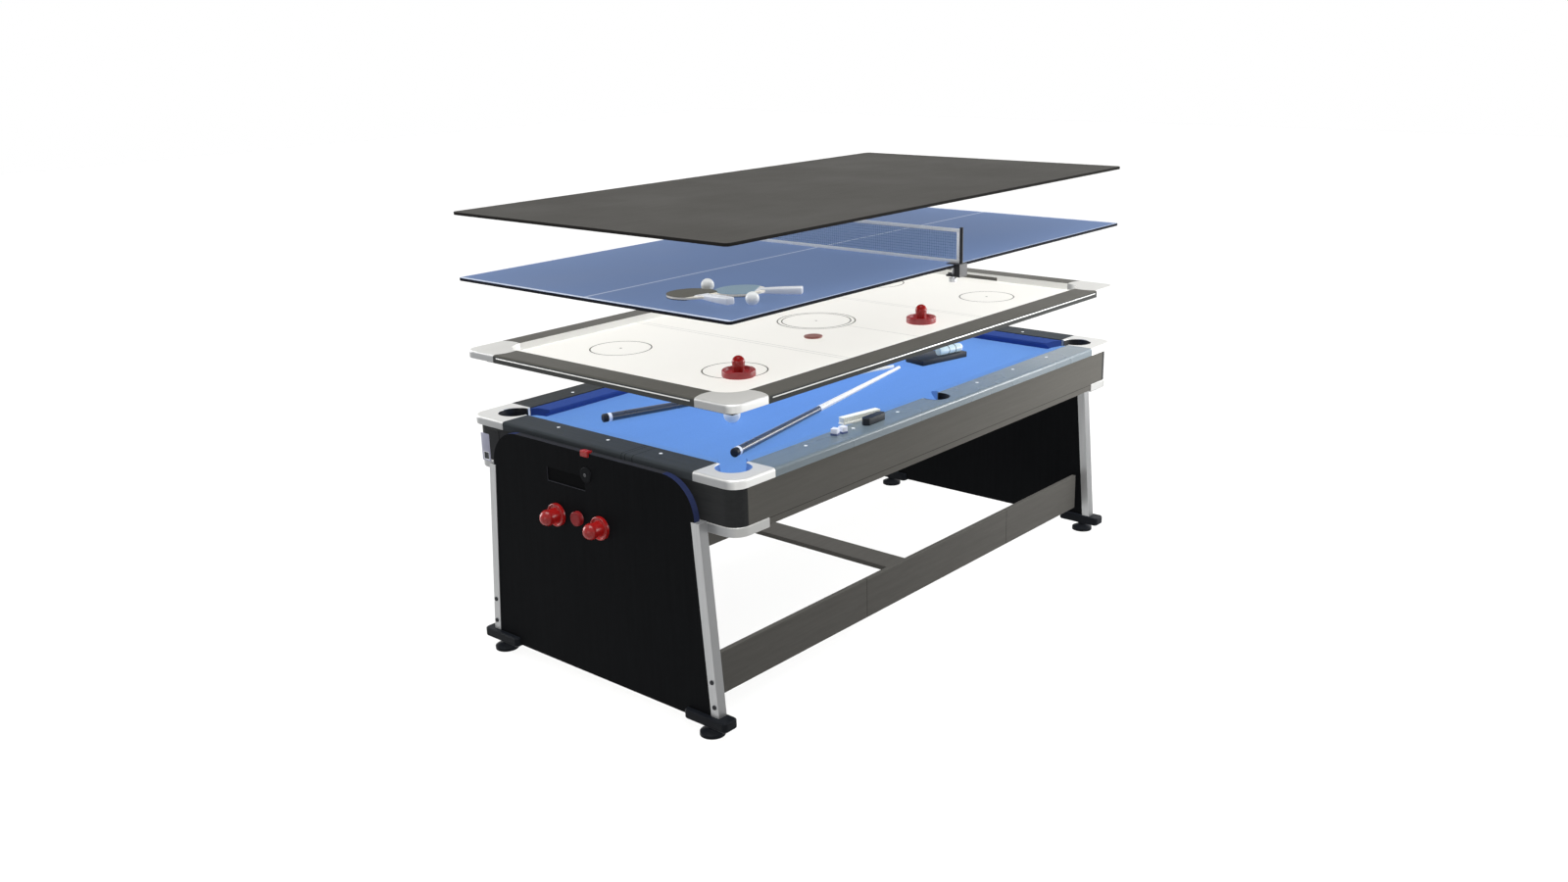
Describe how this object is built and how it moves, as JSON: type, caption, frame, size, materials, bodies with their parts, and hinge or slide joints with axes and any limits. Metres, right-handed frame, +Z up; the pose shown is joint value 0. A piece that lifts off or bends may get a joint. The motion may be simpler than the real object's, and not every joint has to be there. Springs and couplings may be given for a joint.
{
  "type": "multi game table",
  "caption": "Pool table swinging in a two-ended stand, with lift-off hockey tray, table tennis top with net and dining top held above it as in an exploded view.",
  "frame": {"origin": "on the floor, under the middle of the table", "axes": "+X along the table's length, away from the end with the mallet pegs; +Y across it, away from the long side nearest the camera; +Z up"},
  "size_m": [2.292, 1.256, 1.488],
  "materials": {
    "panel_black": "satin",
    "board_charcoal": "satin",
    "rail_charcoal": "satin",
    "cloth_blue": "matte",
    "cushion_blue": "matte",
    "casting_silver": "satin",
    "trim_aluminium": "satin",
    "black_moulding": "satin",
    "latch_red": "gloss",
    "screw_zinc": "satin",
    "field_white": "gloss",
    "tennis_blue": "satin",
    "net_mesh": "matte",
    "dining_taupe": "satin"
  },
  "bodies": {
    "stand": {"end_panel_near": "panel_black", "end_panel_far": "panel_black", "leg_trim_near_front": "trim_aluminium", "leg_trim_near_rear": "trim_aluminium", "leg_trim_far_front": "trim_aluminium", "leg_trim_far_rear": "trim_aluminium", "foot_near_front": "black_moulding", "foot_near_rear": "black_moulding", "foot_far_front": "black_moulding", "foot_far_rear": "black_moulding", "stretcher_front": "board_charcoal", "stretcher_rear": "board_charcoal", "cross_board": "board_charcoal", "pivot_bearing_near": "black_moulding", "pivot_bearing_far": "black_moulding"},
    "leveler_near_front": {"leveler_near_front": "black_moulding"},
    "leveler_near_rear": {"leveler_near_rear": "black_moulding"},
    "leveler_far_front": {"leveler_far_front": "black_moulding"},
    "leveler_far_rear": {"leveler_far_rear": "black_moulding"},
    "latch_near": {"latch_near": "latch_red"},
    "latch_far": {"latch_far": "latch_red"},
    "cabinet": {"side_apron_front": "board_charcoal", "side_apron_rear": "board_charcoal", "end_apron_near": "board_charcoal", "end_apron_far": "board_charcoal", "bottom_board": "panel_black", "pool_bed": "cloth_blue", "rail_near": "rail_charcoal", "rail_front": "rail_charcoal", "rail_far": "rail_charcoal", "rail_rear": "rail_charcoal", "cushion_near": "cushion_blue", "cushion_far": "cushion_blue", "cushion_front_near": "cushion_blue", "cushion_front_far": "cushion_blue", "cushion_rear_near": "cushion_blue", "cushion_rear_far": "cushion_blue", "corner_pocket_near_front": "casting_silver", "corner_pocket_far_front": "casting_silver", "corner_pocket_far_rear": "casting_silver", "corner_pocket_near_rear": "casting_silver", "side_pocket_front": "black_moulding", "side_pocket_rear": "black_moulding", "bottom_cap_near_front": "casting_silver", "bottom_cap_far_front": "casting_silver", "bottom_cap_far_rear": "casting_silver", "bottom_cap_near_rear": "casting_silver"},
    "hockey_tray": {"hockey_frame": "rail_charcoal", "hockey_field": "field_white", "hockey_corner_near_front": "casting_silver", "hockey_corner_far_front": "casting_silver", "hockey_corner_far_rear": "casting_silver", "hockey_corner_near_rear": "casting_silver"},
    "tennis_table": {"tennis_top": "tennis_blue", "net": "net_mesh", "net_post_front": "black_moulding", "net_post_rear": "black_moulding"},
    "clamp_screw_front": {"clamp_screw_front": "screw_zinc"},
    "clamp_screw_rear": {"clamp_screw_rear": "screw_zinc"},
    "dining_top": {"dining_top": "dining_taupe"}
  },
  "joints": [
    {"name": "cabinet_swivel", "type": "hinge", "parent": "stand", "child": "cabinet", "pos_m": [0, 0, 0.726], "axis": [1, 0, 0], "range_deg": [0, 12]},
    {"name": "latch_near_slide", "type": "slide", "parent": "stand", "child": "latch_near", "axis": [-1, 0, 0], "range_m": [-0.012, 0]},
    {"name": "latch_far_slide", "type": "slide", "parent": "stand", "child": "latch_far", "axis": [1, 0, 0], "range_m": [-0.012, 0]},
    {"name": "hockey_tray_lift", "type": "slide", "parent": "stand", "child": "hockey_tray", "axis": [0, 0, 1], "range_m": [-0.12, 0.3]},
    {"name": "tennis_table_lift", "type": "slide", "parent": "hockey_tray", "child": "tennis_table", "axis": [0, 0, 1], "range_m": [-0.165, 0.3]},
    {"name": "dining_top_lift", "type": "slide", "parent": "tennis_table", "child": "dining_top", "axis": [0, 0, 1], "range_m": [-0.06, 0.3]},
    {"name": "clamp_screw_front_slide", "type": "slide", "parent": "tennis_table", "child": "clamp_screw_front", "axis": [0, 0, 1], "range_m": [-0.004, 0]},
    {"name": "clamp_screw_rear_slide", "type": "slide", "parent": "tennis_table", "child": "clamp_screw_rear", "axis": [0, 0, 1], "range_m": [-0.004, 0]},
    {"name": "leveler_near_front_turn", "type": "hinge", "parent": "stand", "child": "leveler_near_front", "pos_m": [-1.106, -0.49, 0], "axis": [0, 0, 1], "continuous": true},
    {"name": "leveler_near_rear_turn", "type": "hinge", "parent": "stand", "child": "leveler_near_rear", "pos_m": [-1.106, 0.49, 0], "axis": [0, 0, 1], "continuous": true},
    {"name": "leveler_far_front_turn", "type": "hinge", "parent": "stand", "child": "leveler_far_front", "pos_m": [1.106, -0.49, 0], "axis": [0, 0, 1], "continuous": true},
    {"name": "leveler_far_rear_turn", "type": "hinge", "parent": "stand", "child": "leveler_far_rear", "pos_m": [1.106, 0.49, 0], "axis": [0, 0, 1], "continuous": true}
  ]
}
